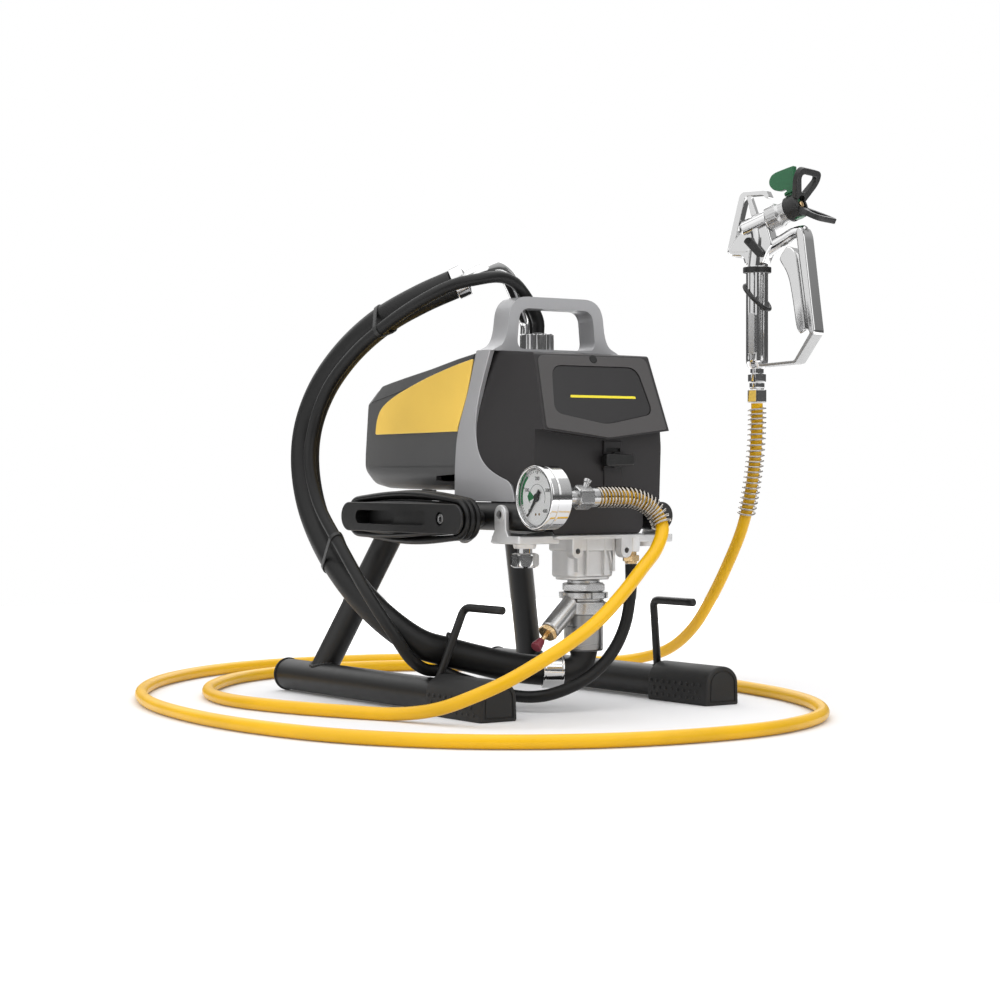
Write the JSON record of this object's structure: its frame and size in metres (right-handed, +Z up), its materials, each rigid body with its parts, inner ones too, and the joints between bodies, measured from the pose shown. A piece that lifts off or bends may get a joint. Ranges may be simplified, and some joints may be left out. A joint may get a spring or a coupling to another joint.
{
  "type": "airless paint sprayer",
  "caption": "Electric airless paint sprayer on a tubular skid frame, with piston pump, pressure gauge, suction and return hoses, yellow spray hose and hand-held spray gun.",
  "frame": {"origin": "middle of the base of the machine and its gun, without the cords, on the floor", "axes": "+Z up, +X to the right as seen from the front of the machine, -Y towards its front"},
  "size_m": [0.8093, 0.9592, 0.621],
  "materials": {
    "black_paint": "gloss",
    "rubber_black": "matt",
    "charcoal_plastic": "satin",
    "grey_plastic": "satin",
    "silver_paint": "satin",
    "cast_metal": "cast satin",
    "steel": "machined",
    "chrome": "polished",
    "brass": "polished",
    "yellow_plastic": "gloss",
    "hose_yellow": "gloss",
    "red_plastic": "gloss",
    "green_plastic": "satin",
    "black_plastic": "satin",
    "circuit_board": "matt",
    "clear_cover": "clear"
  },
  "bodies": {
    "machine": {"left_skid_tube": "black_paint", "left_leg_tube": "black_paint", "left_bent_hook": "black_paint", "left_foot_pad": "rubber_black", "left_skid_plug": "black_plastic", "left_rail_plug": "black_plastic", "left_side_panel": "yellow_plastic", "right_skid_tube": "black_paint", "right_leg_tube": "black_paint", "right_bent_hook": "black_paint", "right_foot_pad": "rubber_black", "right_skid_plug": "black_plastic", "right_rail_plug": "black_plastic", "right_side_panel": "yellow_plastic", "handle_frame": "silver_paint", "front_cover": "charcoal_plastic", "front_label_plate": "black_plastic", "rear_shroud": "grey_plastic", "motor_body": "steel", "pump_lock_nut": "steel", "pump_cylinder": "steel", "inlet_valve_body": "steel", "pusher_housing": "steel", "control_board": "circuit_board", "gear_casting": "cast_metal", "pusher_nut": "brass", "return_fitting": "brass", "suction_elbow": "rubber_black", "suction_hose": "rubber_black", "return_hose": "rubber_black", "mains_lead": "rubber_black", "mains_coil": "rubber_black", "mains_plug": "rubber_black", "suction_clamp": "chrome", "filter_plug": "chrome", "gauge_case": "chrome", "outlet_tee": "chrome", "suction_pipe": "chrome", "suction_strainer": "chrome", "gun_connector": "chrome", "gauge_lens": "clear_cover", "cord_wrap": "black_plastic", "spray_hose": "hose_yellow"},
    "motor_rotor": {"motor_rotor": "steel"},
    "crank": {"main_gear": "steel", "crankshaft": "steel"},
    "piston": {"piston_rod": "steel"},
    "connecting_rod": {"connecting_rod": "steel"},
    "prime_knob": {"prime_knob": "black_plastic"},
    "pressure_knob": {"pressure_knob": "black_plastic"},
    "power_switch": {"power_switch": "red_plastic"},
    "pusher": {"pusher_button": "red_plastic"},
    "gauge_needle": {"gauge_pointer": "black_plastic"},
    "gun": {"gun_body": "chrome", "grip_clip": "black_plastic", "retaining_nut": "steel"},
    "trigger": {"gun_trigger": "chrome"},
    "trigger_lock": {"trigger_lock": "black_plastic"},
    "tip_guard": {"tip_guard": "black_plastic"},
    "spray_tip": {"spray_tip": "green_plastic"}
  },
  "joints": [
    {"name": "motor_spin", "type": "hinge", "parent": "machine", "child": "motor_rotor", "pos_m": [-0.10857, 0.0469, 0.28], "axis": [0, 1, 0], "continuous": true},
    {"name": "crank_spin", "type": "hinge", "parent": "machine", "child": "crank", "pos_m": [-0.10857, -0.0771, 0.235], "axis": [0, 1, 0], "continuous": true},
    {"name": "piston_stroke", "type": "slide", "parent": "machine", "child": "piston", "axis": [0, 0, 1], "range_m": [-0.016, 0]},
    {"name": "rod_swing", "type": "hinge", "parent": "piston", "child": "connecting_rod", "pos_m": [-0.10857, -0.1381, 0.205], "axis": [0, 1, 0], "range_deg": [-12, 12]},
    {"name": "prime_turn", "type": "hinge", "parent": "machine", "child": "prime_knob", "pos_m": [-0.08897, -0.1661, 0.2703], "axis": [0, 1, 0], "range_deg": [0, 90]},
    {"name": "pressure_turn", "type": "hinge", "parent": "machine", "child": "pressure_knob", "pos_m": [-0.02557, -0.1231, 0.345], "axis": [1, 0, 0], "range_deg": [0, 270]},
    {"name": "switch_rock", "type": "hinge", "parent": "machine", "child": "power_switch", "pos_m": [-0.02457, -0.1211, 0.3], "axis": [0, 1, 0], "range_deg": [-12, 0]},
    {"name": "pusher_press", "type": "slide", "parent": "machine", "child": "pusher", "axis": [0.7701, 0.15, 0.6201], "range_m": [0, 0.005], "stiffness_N_per_m": 600},
    {"name": "gauge_sweep", "type": "hinge", "parent": "machine", "child": "gauge_needle", "pos_m": [-0.22787, -0.2111, 0.231], "axis": [1, 0, 0], "range_deg": [0, 270], "stiffness_Nm_per_rad": 0.0002},
    {"name": "gun_swivel", "type": "hinge", "parent": "machine", "child": "gun", "pos_m": [0.22803, -0.0396, 0.365], "axis": [0, 0, 1], "continuous": true},
    {"name": "trigger_pull", "type": "hinge", "parent": "gun", "child": "trigger", "pos_m": [0.24342, -0.08189, 0.519], "axis": [0.9397, 0.342, 0], "range_deg": [0, 15], "stiffness_Nm_per_rad": 2},
    {"name": "lock_turn", "type": "hinge", "parent": "gun", "child": "trigger_lock", "pos_m": [0.21539, -0.03995, 0.534], "axis": [-0.9397, -0.342, 0], "range_deg": [0, 45]},
    {"name": "guard_turn", "type": "hinge", "parent": "gun", "child": "tip_guard", "pos_m": [0.24603, -0.08905, 0.57235], "axis": [0.3214, -0.883, 0.342], "range_deg": [-90, 90]},
    {"name": "tip_turn", "type": "hinge", "parent": "tip_guard", "child": "spray_tip", "pos_m": [0.24603, -0.08905, 0.57235], "axis": [-0.117, 0.3214, 0.9397], "range_deg": [0, 180]}
  ],
  "couplings": [
    {"joint": "crank_spin", "follows": "motor_spin", "ratio": -0.25}
  ]
}
